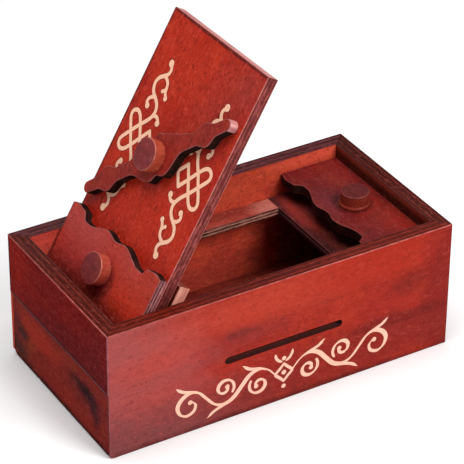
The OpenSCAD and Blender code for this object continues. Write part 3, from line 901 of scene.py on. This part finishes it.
M["knob_top"] = wood_face("knob_top_stain", C(84, 34, 42), C(112, 44, 48), C(126, 54, 56), "y", True, seed=18.0, rough=0.40, pore=0.5)
M["knob_side"] = wood_face("knob_side_stain", C(150, 52, 42), C(186, 78, 62), C(206, 100, 80), "z", True, seed=19.0, rough=0.42)
# painted highlight with some wear: pale ring round the knobs' top edge
M["knob_rim_highlight"] = arris_wear_and_highlight("knob_rim_highlight", C(134, 58, 52), C(196, 116, 100), True, seed=8.0, amount=0.8)
M["rknob_top"] = wood_face("right_knob_top_stain", C(84, 34, 40), C(110, 44, 46), C(122, 54, 54), "y", seed=20.0, rough=0.40, pore=0.5)
# painted shade: the right knob's side and rim are darker copies of the other knobs' finish
M["rknob_side_shaded"] = wood_face("right_knob_side_stain_and_shade", C(112, 34, 28), C(150, 46, 36), C(176, 62, 46), "z", seed=21.0, rough=0.42)
M["rknob_rim_shaded"] = arris_wear_and_highlight("right_knob_rim_shaded", C(92, 36, 34), C(140, 66, 60), seed=9.0, amount=0.5)
M["bare"] = bare_wood("bare_maple", C(206, 140, 126), C(226, 170, 156), C(168, 100, 90), "y", True, seed=2.0)
M["bare_end"] = bare_wood("bare_maple_end", C(196, 124, 112), C(226, 172, 156), C(120, 62, 56), "x", True, seed=3.0)
M["keeper_stain"] = wood_face("keeper_stain", C(96, 34, 28), C(128, 46, 38), C(150, 60, 48), "y", True, seed=22.0, rough=0.5)
M["bare_box"] = bare_wood("bare_maple_box", C(196, 134, 112), C(220, 168, 146), C(150, 92, 76), "y", seed=4.0)
M["cream"] = paint("cream_paint", C(255, 200, 168), C(246, 172, 138), True, seed=1.0)
M["cream_lip"] = paint("cream_paint_lip", C(120, 34, 24), C(96, 30, 22), True, seed=2.0)
M["cream_f"] = paint("cream_paint_front", C(248, 190, 166), C(232, 162, 138), seed=3.0)
M["cream_f_lip"] = paint("cream_paint_front_lip", C(128, 40, 34), C(104, 32, 28), seed=4.0)

# ---------------------------------------------------------------- box


def placed(ob, body, *nodes, slot=None):
    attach(ob, body)
    if nodes:
        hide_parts(*nodes)
    return ob


def wall(name, node, out, mats, slot, corner_cut=True, low_round=None, r=0.42):
    """Box wall. out is its outward direction. mats: outer, inner, rim, inside of cuts, outer arris, inner arris,
    foot arris, corner arris."""
    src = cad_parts[node].data
    bm = bmesh.new()
    bm.from_mesh(src)
    bmesh.ops.remove_doubles(bm, verts=bm.verts, dist=2e-6)
    bmesh.ops.dissolve_limit(bm, angle_limit=math.radians(0.6), verts=bm.verts, edges=bm.edges)
    bm.normal_update()
    o = Vector(out)

    def mitre(f):
        n = f.normal
        return abs(abs(n.x) - 0.7071) < 0.02 and abs(abs(n.y) - 0.7071) < 0.02

    sharp, seam = [], []
    for e in bm.edges:
        if len(e.link_faces) != 2 or e.calc_face_angle(0.0) < math.radians(30):
            continue
        if any(mitre(f) for f in e.link_faces) or e.calc_length() < 4 * MM:
            continue
        zc = (e.verts[0].co.z + e.verts[1].co.z) / 2 / MM
        if 20 < zc < 33.99 or 34.5 < zc < 60:
            continue
        (seam if low_round and 30 < zc < 36 and any(f.normal.dot(o) > 0.9 for f in e.link_faces) else sharp).append(e)
    kw = dict(segments=2, profile=0.5, affect="EDGES", clamp_overlap=False, loop_slide=True, harden_normals=False)
    bmesh.ops.bevel(bm, geom=sharp, offset=r * MM, **kw)
    if seam:
        seam = [e for e in bm.edges if len(e.link_faces) == 2 and e.calc_length() > 60 * MM
                and any(f.normal.dot(o) > 0.95 for f in e.link_faces) and any(f.normal.z < -0.95 for f in e.link_faces)]
        bmesh.ops.bevel(bm, geom=seam, offset=low_round * MM, **kw)
    bm.normal_update()
    if corner_cut:
        for sx in (-1, 1):
            for sy in (-1, 1):
                for tilt, dist in ((0.0, 0.30), (16.0, 0.12), (-16.0, 0.12)):
                    a = math.atan2(sy, sx) + math.radians(tilt)
                    no = Vector((math.cos(a), math.sin(a), 0))
                    co = Vector((sx * 90, sy * 47.5, 0)) * MM - no * dist * MM
                    if all((v.co - co).dot(no) < 0 for v in bm.verts):
                        continue
                    g = bmesh.ops.bisect_plane(bm, geom=bm.verts[:] + bm.edges[:] + bm.faces[:], dist=1e-7,
                                               plane_co=co, plane_no=no, clear_outer=True)
                    edges = [e for e in g["geom_cut"] if isinstance(e, bmesh.types.BMEdge) and e.is_boundary]
                    if edges:
                        bmesh.ops.holes_fill(bm, edges=edges, sides=0)
    bm.normal_update()
    bmesh.ops.recalc_face_normals(bm, faces=bm.faces)
    for f in bm.faces:
        n = f.normal
        c = f.calc_center_median() / MM
        inside_cut = 20 < c.z < 60 and abs(n.dot(o)) < 0.5 and not mitre(f) and abs(c.dot(o)) < abs(Vector((90, 47.5, 0)).dot(o)) - 1.5
        if n.z > 0.985 and c.z > 60:
            k = 2
        elif abs(n.z) > 0.985:
            k = 3 if inside_cut else 2
        elif abs(c.x) > 88.5 and abs(c.y) > 45.5 and abs(n.x) > 0.3 and abs(n.y) > 0.3:
            k = 7 if c.x < 0 and c.y < 0 else 5
        elif n.dot(o) > 0.985:
            k = 0
        elif n.dot(o) < -0.985 or mitre(f) and c.length < 200:
            k = 1
        elif inside_cut:
            k = 3
        elif abs(n.x) > 0.5 and abs(n.y) > 0.5:
            k = 7
        elif c.z > 60:
            k = 4 if n.dot(o) > 0 else 5
        elif c.z > 20:
            k = 8 if len(mats) > 8 else 5
        else:
            k = 6
        f.material_index = k
    ob = mesh_object(name, bm, [M[m] for m in mats])
    weighted(ob)
    return placed(ob, "carcass", node, slot=slot)


# the front and left walls take the pale arris and corner arris: painted highlights along their outer rim edges and
# front-left corner
front = wall("front_wall_piece", "front_wall", (0, -1, 0),
             ["front", "inner", "rim_y", "slot", "arris", "arris_dark", "arris_dark", "arris_corner"], "red_ply")
for v in front.data.vertices:
    if v.co.y < -47.44 * MM:
        v.co.y = -47.44 * MM
wall("back_wall_piece", "back_wall", (0, 1, 0),
     ["back", "inner", "rim_back", "slot", "arris_dark", "arris_dark", "arris_dark", "arris_dark"], "red_ply")
wall("right_wall_piece", "right_wall", (1, 0, 0),
     ["right", "inner_right_shaded", "rim_x", "slot", "arris_dark", "arris_dark", "arris_dark", "arris_dark"], "red_ply")
wall("left_wall_piece", "left_wall", (-1, 0, 0),
     ["left", "inner_end", "rim_x", "slot", "arris", "arris_dark", "arris_seam", "arris_corner", "arris_seam"], "end_ply", low_round=1.2)


def board(name, node, body, face, edge, arris, slot, faces=("+z", "-z"), r=0.35, xf=None, keep=None, more=(), pick=None):
    """A flat board: two faces, cut edges and rounded arrises. Long edges only are rounded."""
    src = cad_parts[node].data
    bm = bmesh.new()
    bm.from_mesh(src)
    bmesh.ops.remove_doubles(bm, verts=bm.verts, dist=2e-6)
    bmesh.ops.dissolve_limit(bm, angle_limit=math.radians(0.6), verts=bm.verts, edges=bm.edges)
    bm.normal_update()
    back = xf.inverted() if xf else IDENT
    rot = back.to_3x3()
    sharp = []
    for e in bm.edges:
        if len(e.link_faces) != 2 or e.calc_face_angle(0.0) < math.radians(30) or e.calc_length() < 2.4 * MM:
            continue
        mid = (back @ ((e.verts[0].co + e.verts[1].co) / 2)) / MM
        if keep and not keep(mid):
            continue
        sharp.append(e)
    bmesh.ops.bevel(bm, geom=sharp, offset=r * MM, segments=2, profile=0.5, affect="EDGES", clamp_overlap=False,
                    loop_slide=True, harden_normals=False)
    bm.normal_update()
    for f in bm.faces:
        n = rot @ f.normal
        k = 2
        for ax in "xyz":
            v = n["xyz".index(ax)]
            if abs(v) > 0.985:
                k = 0 if ("+" if v > 0 else "-") + ax in faces else 1
        if pick:
            k = pick(n, (back @ f.calc_center_median()) / MM, k)
        f.material_index = k
    ob = mesh_object(name, bm, [M[face], M[edge], M[arris], *(M[m] for m in more)])
    weighted(ob)
    return placed(ob, body, node, slot=slot)


board("bottom_board_piece", "bottom_board", "carcass", "under", "under", "arris_dark", "inner_ply")
board("front_ledge_piece", "front_ledge", "carcass", "ledge", "ledge_ply", "arris_dark", "inner_ply")
board("back_ledge_piece", "back_ledge", "carcass", "ledge", "ledge_ply", "arris_dark", "inner_ply")
board("cross_ledge_piece", "cross_ledge", "carcass", "cross", "cross_ply", "arris_dark", "inner_ply")
board("plate_spacer_piece", "plate_spacer", "carcass", "bare_box", "spacer", "arris_dark", "bare_wood")

# the drawer
board("drawer_front_piece", "drawer_front", "drawer", "drawer_front", "rim_x", "arris_dark", "end_ply", faces=("-x", "+x"), r=0.4)
board("drawer_floor_piece", "drawer_floor", "drawer", "drawer_in", "drawer_in", "arris_dark", "inner_ply", r=0.2)
board("drawer_side_front_piece", "drawer_side_front", "drawer", "drawer_in", "ledge_ply", "arris_dark", "inner_ply",
      faces=("+y", "-y"), r=0.3)
board("drawer_side_back_piece", "drawer_side_back", "drawer", "drawer_in", "ledge_ply", "arris_dark", "inner_ply",
      faces=("+y", "-y"), r=0.3)
board("drawer_back_piece", "drawer_back", "drawer", "drawer_in", "ledge_ply", "arris_dark", "inner_ply",
      faces=("+x", "-x"), r=0.3)
board("catch_block_piece", "catch_block", "drawer", "bare_box", "bare_box", "bare_box", "bare_wood", r=0.4)

# the fixed right plate, its knob and the drawer lock
placed(slab("right_plate_piece", plate_outline(82.5 - RIGHT_BASE, 80.0), 53.8, 58.6, 0.35,
            [M["rplate"], M["char"], M["char_arris"]],
            Matrix.Translation(Vector((RIGHT_BASE, 0, 0)) * MM) @ Matrix.Rotation(math.pi, 4, "Z")),
       "carcass", "right_plate", slot="plate_ply")

KNOB = [(0.0, 0.0), (7.1, 0.0), (7.34, 0.08), (7.46, 0.3), (7.5, 0.6), (7.5, 5.5), (7.47, 5.68), (7.36, 5.84), (7.2, 5.94),
        (7.0, 5.985), (6.7, 6.0), (3.2, 6.0), (0.0, 6.0)]


# the right one stands on a low foot and is a little slimmer above it
FOOTED_KNOB = [(0.0, 0.0), (7.1, 0.0), (7.36, 0.07), (7.48, 0.25), (7.5, 0.8), (7.38, 1.1), (7.12, 1.36), (6.95, 1.55), (6.88, 1.8), (6.8, 6.4),
               (6.74, 6.66), (6.58, 6.87), (6.35, 6.97), (6.0, 7.0), (3.0, 7.0), (0.0, 7.0)]


def knob(name, xf, top, side, rim, profile=KNOB):
    first = len(profile) - (8 if profile is KNOB else 7)
    return lathe(name, profile, [M[side], M[rim], M[top]], xf, pick=lambda k: 0 if k < first else (1 if k < first + 3 else 2))


placed(knob("right_knob_piece", Matrix.Translation(Vector((RIGHT_KNOB_X, 0, 58.7)) * MM), "rknob_top", "rknob_side_shaded", "rknob_rim_shaded",
            FOOTED_KNOB),
       "drawer_lock", "right_knob", slot="knob_wood")


def dowel(name, r, z0, z1, xf, mat):
    c = 0.25
    return lathe(name, [(0.0, z0), (r - c, z0), (r, z0 + c), (r, z1 - c), (r - c, z1), (0.0, z1)], [M[mat]], xf, seg=48)


placed(dowel("lock_dowel_piece", 3.0, 28.2, 58.7, Matrix.Translation(Vector((RIGHT_KNOB_X, 0, 0)) * MM), "bare_box"),
       "drawer_lock", "lock_dowel", slot="bare_wood")
board("lock_arm_piece", "lock_arm", "drawer_lock", "bare_box", "bare_box", "bare_box", "bare_wood", r=0.35)

# the left plate and what is fixed to it
placed(slab("left_plate_piece", plate_outline(85.0 + LEFT_BASE, 78.4), PLATE_Z, PLATE_Z + 4.3, 0.35,
            [M["lplate"], M["lplate_ply"], M["lchar_arris"], M["lchar"]],
            M_OPEN @ Matrix.Translation(Vector((LEFT_BASE, 0, 0)) * MM),
            end_pick=lambda mid, nor: 3 if mid.x > -4.5 and abs(mid.y) < 39.0 else None),
       "left_slider", "left_plate", slot="plate_ply")
placed(knob("left_knob_piece", M_OPEN @ Matrix.Translation(Vector((LEFT_KNOB_X, 0, PLATE_Z + 4.3)) * MM),
            "knob_top", "knob_side", "knob_rim_highlight"), "left_slider", "left_knob", slot="knob_wood")
for s, node in ((-1, "slide_dowel_front"), (1, "slide_dowel_back")):
    placed(dowel(node + "_piece", 2.5, LID_Z0 - 2.9, PLATE_Z,
                 M_OPEN @ Matrix.Translation(Vector((LEFT_BASE - 9.8, s * 22.0, 0)) * MM), "bare"),
           "left_slider", node, slot="bare_wood")
board("keeper_bar_piece", "keeper_bar", "left_slider", "bare_end", "keeper_stain", "bare_end", "bare_wood", faces=("+y", "-y"), xf=M_OPEN, r=0.3)

# the lid board
board("lid_board_piece", "lid_board", "lid", "lid", "lid_ply", "lid_arris_highlight", "lid_ply", xf=M_OPEN, r=0.4,
      keep=lambda c: abs(c.y) > 38.5 or c.x > 48.5 or c.x < -79.5, more=("lid_end", "lid_end_arris", "lid_arris_back"),
      pick=lambda n, c, k: 3 if n.x > 0.985 and c.x > 48 else (4 if k == 2 and n.x > 0.3 and c.x > 48 else (5 if k == 2 and n.y > 0.3 else k)))

# the latch
LATCH = M_OPEN @ Matrix.Translation(Vector((LATCH_X, 0, 0)) * MM)
placed(slab("latch_strip_piece", latch_outline(), PLATE_Z, PLATE_Z + 5.0, 0.35,
            [M["strip"], M["lchar"], M["lchar_arris"], M["strip_end"]], LATCH @ Matrix.Rotation(-LATCH_TURN, 4, "Z"),
            end_pick=lambda mid, nor: 3 if mid.x > 46.6 else None),
       "latch", "latch_strip", slot="plate_ply")
placed(knob("centre_knob_piece", LATCH @ Matrix.Translation(Vector((0, 0, PLATE_Z + 5.0)) * MM), "knob_top", "knob_side", "knob_rim_highlight"),
       "latch", "centre_knob", slot="knob_wood")
placed(dowel("pivot_dowel_piece", 3.0, LID_Z0 - 3.8, PLATE_Z, LATCH, "bare"), "latch", "pivot_dowel", slot="bare_wood")
placed(lathe("dowel_collar_piece", [(3.0, LID_Z0 - 3.8), (6.5, LID_Z0 - 3.8), (7.0, LID_Z0 - 3.3), (7.0, LID_Z0 - 0.8),
                                    (6.5, LID_Z0 - 0.3), (3.0, LID_Z0 - 0.3), (3.0, LID_Z0 - 3.8)], [M["bare"]], LATCH, seg=64),
       "latch", "dowel_collar", slot="bare_wood")

# ---------------------------------------------------------------- painted ornaments

# Half of the knot-and-scroll ornament: a is along the lid from its middle, b from the lid's centre line to its edge.
TAIL = [(5.2, 25.4), (8.3, 22.4), (11.3, 20.3), (14.3, 19.6), (17.2, 20.9), (19.1, 23.6), (20.5, 26.3), (22.8, 28.1),
        (25.4, 28.5), (27.9, 27.2), (29.8, 24.7), (31.3, 22.8), (33.4, 22.0), (35.2, 22.7), (36.4, 23.8)]
CURL = [(19.2, 24.4), (18.5, 26.4), (16.9, 27.9), (15.2, 27.9), (14.0, 26.6)]
HOOK = [(11.7, 20.1), (12.6, 18.3), (12.4, 16.4), (11.3, 15.1), (10.4, 14.9)]
BRANCH = [(29.8, 24.7), (29.4, 22.3), (28.0, 20.3), (26.0, 19.5), (24.0, 19.0), (22.8, 18.0), (21.7, 17.2)]
SPUR = [(25.2, 19.6), (23.6, 21.2)]
KNOT = [(5.2, 25.4), (0.0, 29.6), (-3.0, 32.1), (-6.0, 34.1), (-8.5, 33.6), (-9.6, 31.2), (-8.6, 28.5), (-5.2, 25.4),
        (0.0, 21.4)]
DIAMOND = [(0.0, 21.4), (5.4, 17.1)], [(5.4, 17.1), (1.0, 13.3), (0.0, 12.8), (-1.0, 13.3), (-5.4, 17.1)], [(-5.4, 17.1), (0.0, 21.4)]


def ornament(side):
    strokes, balls = [], []
    for m in (-1, 1):
        def put(pts, w0, w1, w2):
            strokes.append((polyline([(m * a, side * b) for a, b in pts]), w0, w1, w2))
        put(TAIL, 0.95, 0.98, 0.9)
        put(CURL, 0.7, 0.9, 0.95)
        put(HOOK, 0.7, 0.9, 0.9)
        put(BRANCH, 0.7, 0.9, 0.8)
        put(SPUR, 0.8, 0.8, 0.8)
        put(KNOT, 0.95, 0.95, 0.95)
        balls += [(m * 36.4, side * 23.9, 1.75), (m * 14.1, side * 26.7, 1.45), (m * 10.5, side * 14.9, 1.55),
                  (m * 21.8, side * 17.3, 1.3), (m * 23.6, side * 21.3, 0.95)]
    for pts in DIAMOND:
        strokes.append(([Vector((a, side * b)) for a, b in pts], 0.95, 0.95, 0.95))
    return strokes, balls


ORN = M_OPEN @ Matrix.Translation(Vector((LATCH_X + 0.3, 0, LID_Z1)) * MM)
for side, label in ((1, "back"), (-1, "front")):
    st, bl = ornament(side)
    placed(inlay("lid_ornament_" + label, st, bl, ORN, [M["cream"], M["cream_lip"]]), "lid", slot="lid_ply")

# A running scroll with curls, under the slot. Local a is along the box, b is height.
strokes, balls = [], []


def spiral(cx, cy, r0, r1, a0, turns, n=26):
    """Points of a curl winding in from radius r0 to r1 about its centre."""
    return [(cx + (r0 + (r1 - r0) * i / n) * math.cos(a0 + 2 * math.pi * turns * i / n),
             cy + (r0 + (r1 - r0) * i / n) * math.sin(a0 + 2 * math.pi * turns * i / n)) for i in range(n + 1)]


def stroke(pts, w0=0.35, w1=0.8, w2=0.5, pen=None):
    strokes.append((polyline(pts), w0, w1, w2, *([pen] if pen else [])))


for m in (-1, 1):
    pen = (m * 0.80, 0.60)
    # running vine, ending in a large curl
    vine = [(4.4, 15.2), (8.4, 19.6), (13.2, 21.6), (18.2, 20.0), (22.4, 15.4), (26.6, 10.8), (31.6, 9.0), (36.4, 10.8), (40.4, 15.2),
            (44.4, 19.8), (48.8, 21.4), (53.2, 19.4), (55.4, 15.6), (54.2, 11.4), (50.8, 9.4), (47.2, 10.8), (46.2, 14.0), (48.2, 16.6)]
    stroke([(m * a, b) for a, b in vine], 0.55, 1.08, 0.6, pen)
    balls.append((m * 48.9, 16.2, 1.2))
    # one open curl in each hollow of the vine
    for cx, cy, r0, a0, t in ((13.2, 13.2, 5.3, 0.62, -1.15), (31.2, 17.6, 5.3, -2.5, -1.15)):
        pts = spiral(cx, cy, r0, 1.5, a0, t)
        stroke([(m * x, y) for x, y in pts], 0.6, 0.92, 0.6, pen)
        balls.append((m * pts[-1][0], pts[-1][1], 1.15))
    # tapering leaves that leave the vine along its run and bend away
    for leaf in (((10.6, 21.1), (14.6, 22.3), (18.4, 23.6), (21.6, 26.2)), ((28.6, 9.3), (33.0, 8.2), (36.8, 6.8), (40.0, 4.4)),
                 ((46.2, 21.0), (50.0, 22.2), (53.2, 23.6), (56.0, 26.0))):
        stroke([(m * a, b) for a, b in leaf], 0.3, 0.78, 0.15)
    # half of the centre lozenge and the leaf over it
    stroke([(0, 20.0), (m * 2.2, 17.6), (m * 4.4, 15.2), (m * 2.2, 12.8), (0, 10.4)], 0.6, 0.75, 0.6)
    stroke([(m * 1.2, 21.4), (m * 3.0, 22.6), (m * 4.2, 24.4), (m * 4.6, 26.4)], 0.35, 0.7, 0.15)
balls += [(0, 15.2, 1.25), (0, 23.0, 1.15), (0, 7.6, 1.15)]
FRONT = Matrix(((1, 0, 0, 0), (0, 0, -1, -47.44 * MM), (0, 1, 0, 0), (0, 0, 0, 1)))
placed(inlay("front_scroll", strokes, balls, FRONT, [M["cream_f"], M["cream_f_lip"]], lip=0.25, h=0.06), "carcass", slot="red_ply")

# ---------------------------------------------------------------- stage and light


def make_stage():
    n = Nodes("floor_paper")
    v = n.coords()
    a = n.noise(v, 0.004, 2.0, 0.5)
    col = n.mix(a, (0.93, 0.93, 0.93), (0.96, 0.96, 0.96))
    mat = n.finish(col, 0.75, None, 0.2)
    bm = bmesh.new()
    bmesh.ops.create_grid(bm, x_segments=2, y_segments=2, size=4.0)
    fl = mesh_object("floor", bm, [mat], smooth=False)
    w = bpy.data.worlds.new("studio")
    bpy.context.scene.world = w
    w.use_nodes = True
    w.node_tree.nodes["Background"].inputs[0].default_value = (1.0, 1.0, 1.0, 1.0)
    w.node_tree.nodes["Background"].inputs[1].default_value = 0.34

    def area(name, loc, size, power, target=(0, 0, 0.05), colour=(1, 1, 1)):
        li = bpy.data.lights.new(name, "AREA")
        li.shape = "RECTANGLE"
        li.size, li.size_y = size
        li.energy = power
        li.color = colour
        ob = link(bpy.data.objects.new(name, li))
        ob.location = loc
        ob.rotation_mode = "QUATERNION"
        ob.rotation_quaternion = (Vector(target) - Vector(loc)).to_track_quat("-Z", "Y")
        return ob

    area("key", (0.35, -0.95, 0.95), (0.6, 0.6), 12.0)
    area("top", (-0.20, 0.0, 1.3), (0.9, 0.9), 11.0)


make_stage()
bpy.context.scene.view_settings.view_transform = "Standard"
bpy.context.scene.view_settings.look = "None"
